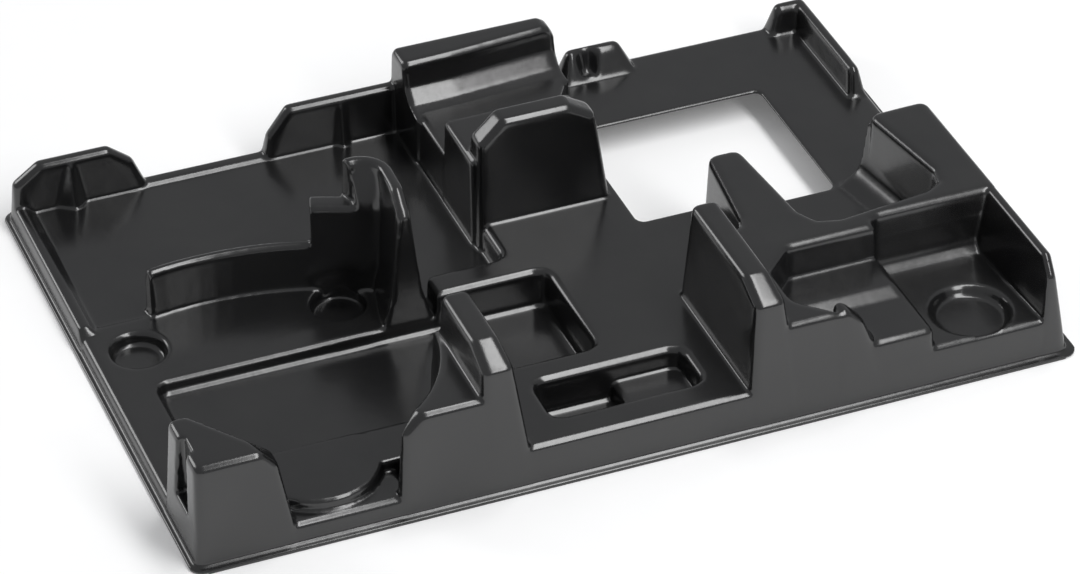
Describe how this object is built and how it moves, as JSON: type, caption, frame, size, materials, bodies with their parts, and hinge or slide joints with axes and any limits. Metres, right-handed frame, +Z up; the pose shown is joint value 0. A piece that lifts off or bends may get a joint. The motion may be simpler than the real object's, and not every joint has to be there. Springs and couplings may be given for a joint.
{
  "type": "tool case insert",
  "caption": "Vacuum-formed black plastic tray that holds a power tool and its accessories in a carrying case.",
  "frame": {"origin": "middle of the footprint, on the surface that the tray rests on", "axes": "+X along the front to the right, +Y from the front to the back, +Z up"},
  "size_m": [0.38, 0.2576, 0.0655],
  "materials": {
    "black_plastic": "satin-gloss vacuum-formed black plastic sheet with soft edges"
  },
  "bodies": {
    "root": {"tray": "black_plastic"}
  },
  "joints": []
}
